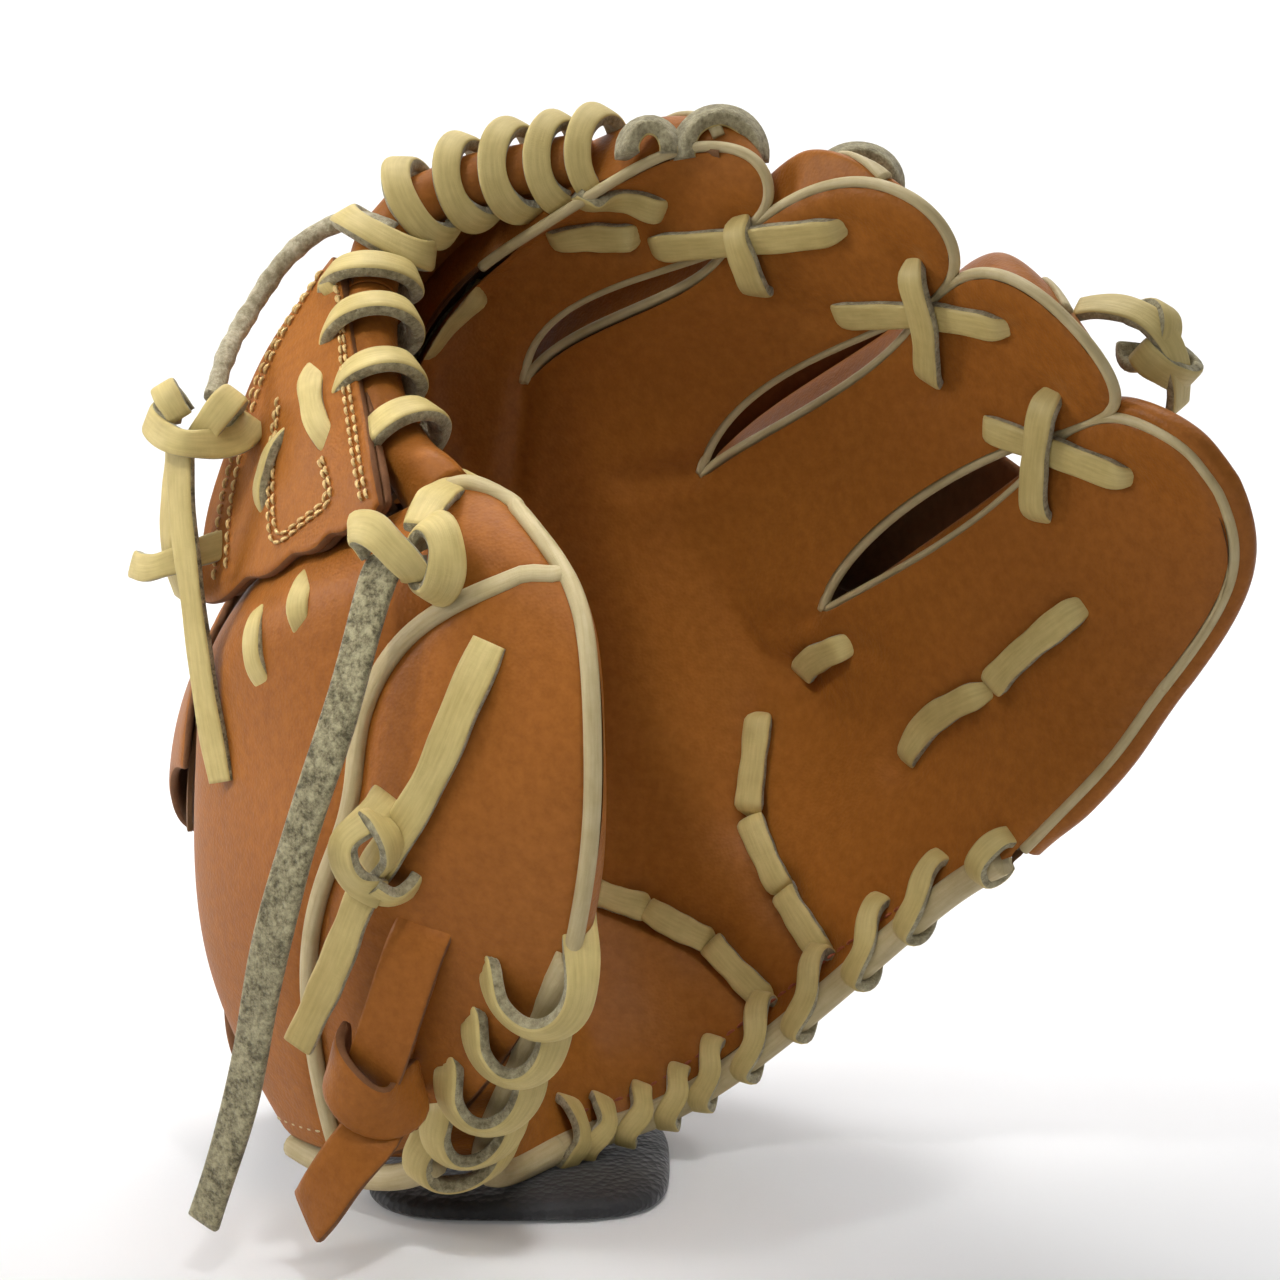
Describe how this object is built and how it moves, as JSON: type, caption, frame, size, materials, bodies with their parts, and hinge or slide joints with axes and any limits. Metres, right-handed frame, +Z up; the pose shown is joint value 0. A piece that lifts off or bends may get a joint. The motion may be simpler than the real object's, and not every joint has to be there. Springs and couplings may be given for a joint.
{
  "type": "baseball glove",
  "caption": "Left-hand fielding glove in tan leather: padded open pocket, laced stalls, wound-edge web, adjustable wrist strap, standing on its heel.",
  "frame": {"origin": "middle of the black wrist pad's flat underside, on which the open glove stands", "axes": "+Z up from heel to fingertips, +X from the thumb towards the little finger, +Y from the pocket opening towards the back of the hand"},
  "size_m": [0.2321, 0.1669, 0.2384],
  "materials": {
    "shell": "oiled steerhide, smooth grain",
    "lace": "raw cream rawhide lace, waxed grain side",
    "trim": "cream split-hide binding and piping",
    "board": "matte",
    "black_lining": "matte",
    "felt": "wool felt",
    "lining": "soft glove hide, matte"
  },
  "bodies": {
    "palm": {"back_lining": "lining", "back_panel": "shell", "back_side_panel": "shell", "back_welt": "trim", "crotch_lace": "lace", "heel_binding": "trim", "heel_lace": "lace", "heel_pads": "felt", "little_edge_lace": "lace", "palm_lace_little_row": "lace", "palm_lace_thumb_row": "lace", "palm_lining": "lining", "palm_pad": "felt", "palm_shell": "shell", "wrist_lining_pad": "black_lining"},
    "fingers": {"index_front": "shell", "index_back": "shell", "index_lining": "lining", "index_piping": "trim", "middle_front": "shell", "middle_back": "shell", "middle_lining": "lining", "middle_piping": "trim", "ring_front": "shell", "ring_back": "shell", "ring_lining": "lining", "ring_piping": "trim", "little_front": "shell", "little_back": "shell", "little_lining": "lining", "little_piping": "trim", "finger_pads": "felt", "finger_welts": "trim", "fingertip_lace": "lace", "fingertip_knot": "lace"},
    "thumb": {"thumb_front": "shell", "thumb_outer_panel": "shell", "thumb_back_panel": "shell", "thumb_tip_panel": "shell", "thumb_pad": "felt", "thumb_lining": "lining", "thumb_stiffener": "board", "thumb_piping": "trim", "thumb_welt": "trim", "thumb_binding": "trim", "thumb_ladder_lace": "lace", "thumb_tie_lace": "lace", "thumb_loop": "shell", "web_knot_lace": "lace"},
    "web_thumb": {"web_panel_thumb": "shell", "web_roll_thumb": "shell", "web_spiral_thumb": "lace", "web_back_lace": "lace"},
    "web_finger": {"web_panel_finger": "shell", "web_roll_finger": "shell", "web_spiral_finger": "lace"},
    "wrist_strap": {"wrist_strap": "shell", "wrist_strap_lining": "lining"},
    "long_tail": {"long_tail": "lace"},
    "back_tail": {"back_tail": "lace"}
  },
  "joints": [
    {"name": "thumb_close", "type": "hinge", "parent": "palm", "child": "thumb", "pos_m": [0.008, -0.0245, 0.007], "axis": [-0.2175, 0.0395, 0.9753], "range_deg": [-4, 14]},
    {"name": "finger_curl", "type": "hinge", "parent": "palm", "child": "fingers", "pos_m": [-0.026, 0.0275, 0.165], "axis": [0.8938, -0.2161, -0.3929], "range_deg": [-2.5, 7.5]},
    {"name": "web_fold_thumb", "type": "hinge", "parent": "thumb", "child": "web_thumb", "pos_m": [-0.0293, -0.04158, 0.17164], "axis": [-0.6137, 0.1945, -0.7652], "range_deg": [-4.5, 14.5]},
    {"name": "web_fold_finger", "type": "hinge", "parent": "fingers", "child": "web_finger", "pos_m": [-0.01811, 0.02791, 0.20993], "axis": [-0.5628, 0.1832, -0.806], "range_deg": [-0.9, 1.9]},
    {"name": "strap_flex", "type": "hinge", "parent": "palm", "child": "wrist_strap", "pos_m": [0.0871, 0.00478, 0.06532], "axis": [-0.2294, 0.044, -0.9723], "range_deg": [0, 12]},
    {"name": "long_tail_swing", "type": "hinge", "parent": "thumb", "child": "long_tail", "pos_m": [-0.035, -0.0785, 0.148], "axis": [-0.9578, 0.2873, 0], "range_deg": [0, 40]},
    {"name": "back_tail_swing", "type": "hinge", "parent": "web_thumb", "child": "back_tail", "pos_m": [-0.074, -0.0185, 0.166], "axis": [-0.8645, 0.5026, 0], "range_deg": [0, 35]}
  ],
  "couplings": [
    {"joint": "finger_curl", "follows": "thumb_close", "ratio": 0.5},
    {"joint": "web_fold_thumb", "follows": "thumb_close", "ratio": 1},
    {"joint": "web_fold_finger", "follows": "thumb_close", "ratio": 0.1}
  ]
}
